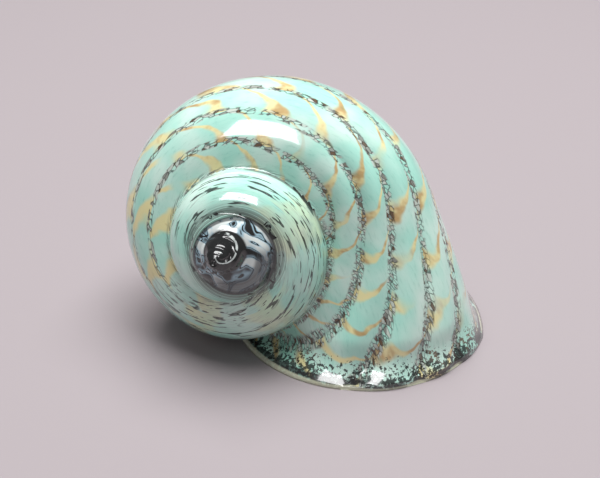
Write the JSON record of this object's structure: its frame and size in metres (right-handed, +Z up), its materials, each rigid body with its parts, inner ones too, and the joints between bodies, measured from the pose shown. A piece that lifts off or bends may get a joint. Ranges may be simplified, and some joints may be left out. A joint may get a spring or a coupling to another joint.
{
  "type": "glass turban shell ornament",
  "caption": "Hollow blown-glass ornament in the form of a turban shell, coiled to the right, lying on the flat rim of its flared mouth.",
  "frame": {"origin": "in the plane of the mouth's rim, below the middle of the bounding box", "axes": "+Z up from the rim, +X along the longest extent from the ball towards the flared lip, -Y towards the apex side"},
  "size_m": [0.1269, 0.0905, 0.0891],
  "materials": {
    "glass": "polished mint opal glass with dark chip bands and amber streaks under a clear skin"
  },
  "bodies": {
    "root": {"shell": "glass"}
  },
  "joints": []
}
